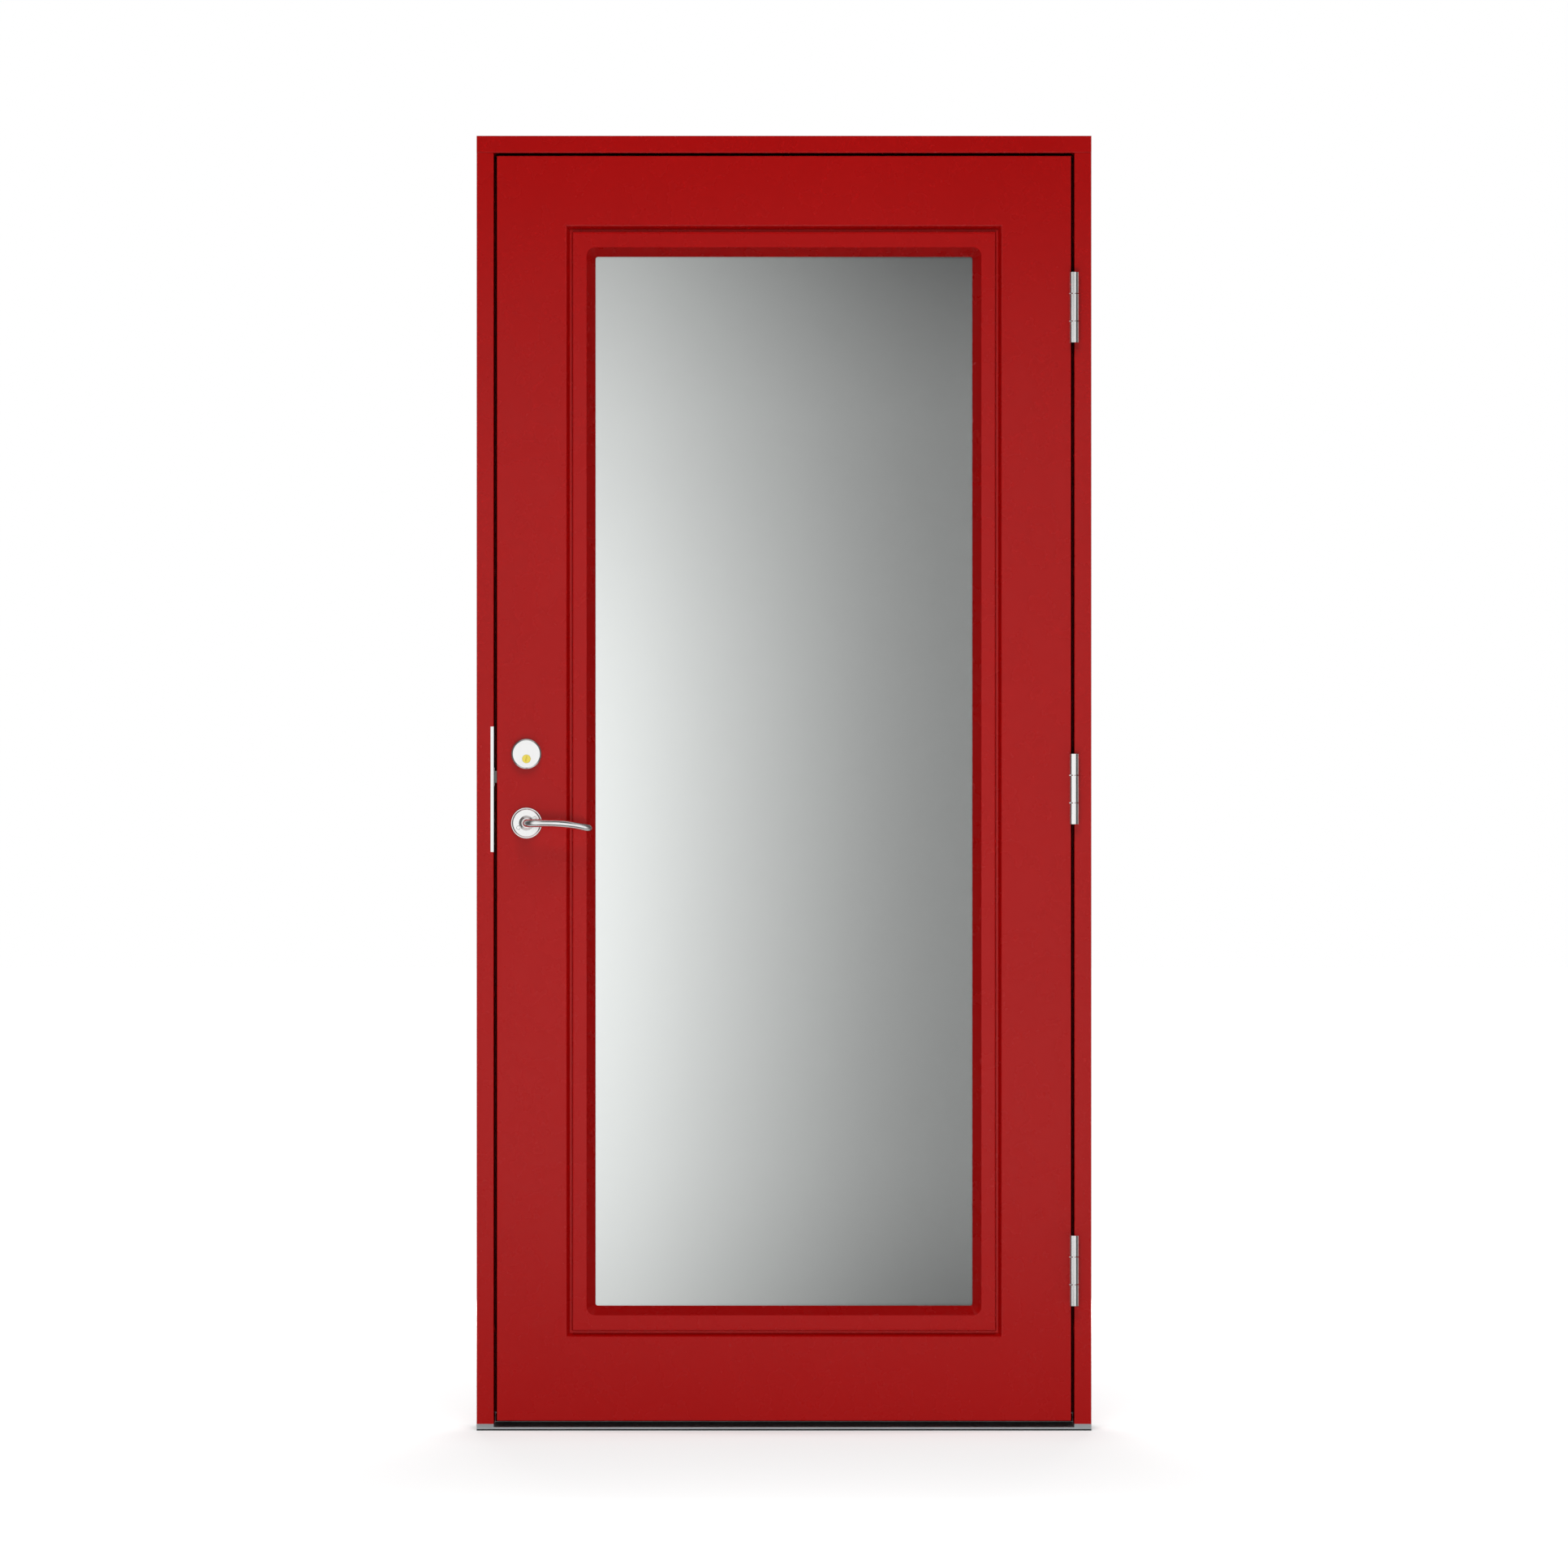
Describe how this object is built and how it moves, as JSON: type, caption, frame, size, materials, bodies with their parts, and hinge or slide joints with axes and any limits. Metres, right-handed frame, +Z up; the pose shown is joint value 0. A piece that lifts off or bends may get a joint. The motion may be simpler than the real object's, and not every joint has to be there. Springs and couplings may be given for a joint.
{
  "type": "exterior door",
  "caption": "Red painted entrance door with a tall glazed panel, in its frame with a metal sill, opening outwards on the right with a lever handle and a lock cylinder",
  "frame": {"origin": "middle of the underside of the sill, half way through the depth of the frame", "axes": "+Z up the door, +X towards the hinge jamb seen from outside, +Y into the building; the outside face looks along -Y"},
  "size_m": [0.99, 0.1822, 2.085],
  "materials": {
    "red_paint": "satin red paint",
    "steel": "polished stainless steel",
    "aluminium": "natural anodised",
    "black_composite": "matt black",
    "black_rubber": "matt black",
    "glass": "clear, coated",
    "spacer_grey": "matt grey",
    "brass": "polished"
  },
  "bodies": {
    "frame": {"lock_jamb": "red_paint", "hinge_jamb": "red_paint", "head": "red_paint", "sill_base": "black_composite", "sill_cover": "aluminium", "lock_jamb_seal": "black_rubber", "hinge_jamb_seal": "black_rubber", "head_seal": "black_rubber", "sill_seal": "black_rubber", "strike_plate": "steel", "bottom_hinge_frame_half": "steel", "middle_hinge_frame_half": "steel", "top_hinge_frame_half": "steel", "bottom_hinge_pin": "steel", "middle_hinge_pin": "steel", "top_hinge_pin": "steel"},
    "leaf": {"lock_stile": "red_paint", "hinge_stile": "red_paint", "top_rail": "red_paint", "bottom_rail": "red_paint", "outer_skin": "red_paint", "inner_skin": "red_paint", "outer_glazing_frame": "red_paint", "inner_glazing_frame": "red_paint", "outer_pane": "glass", "middle_pane": "glass", "inner_pane": "glass", "outer_spacer": "spacer_grey", "inner_spacer": "spacer_grey", "bottom_hinge_leaf_half": "steel", "middle_hinge_leaf_half": "steel", "top_hinge_leaf_half": "steel", "lock_case": "steel", "cylinder_ring": "steel", "lock_cylinder": "steel", "cylinder_plug": "brass", "outer_rosette": "steel", "inner_rosette": "steel", "turn_rosette": "steel", "thumb_turn": "steel"},
    "lever": {"outer_lever": "steel", "inner_lever": "steel", "spindle": "steel"},
    "latch": {"latch_bolt": "steel"}
  },
  "joints": [
    {"name": "leaf_swing", "type": "hinge", "parent": "frame", "child": "leaf", "pos_m": [0.4665, -0.0665, 1.033], "axis": [0, 0, 1], "range_deg": [0, 170]},
    {"name": "lever_turn", "type": "hinge", "parent": "leaf", "child": "lever", "pos_m": [-0.4145, -0.0265, 0.9782], "axis": [0, 1, 0], "range_deg": [0, 45], "stiffness_Nm_per_rad": 2, "springref_deg": -22.92},
    {"name": "latch_slide", "type": "slide", "parent": "leaf", "child": "latch", "axis": [1, 0, 0], "range_m": [0, 0.014]}
  ],
  "couplings": [
    {"joint": "latch_slide", "follows": "lever_turn", "m_per_rad": 0.01782}
  ]
}
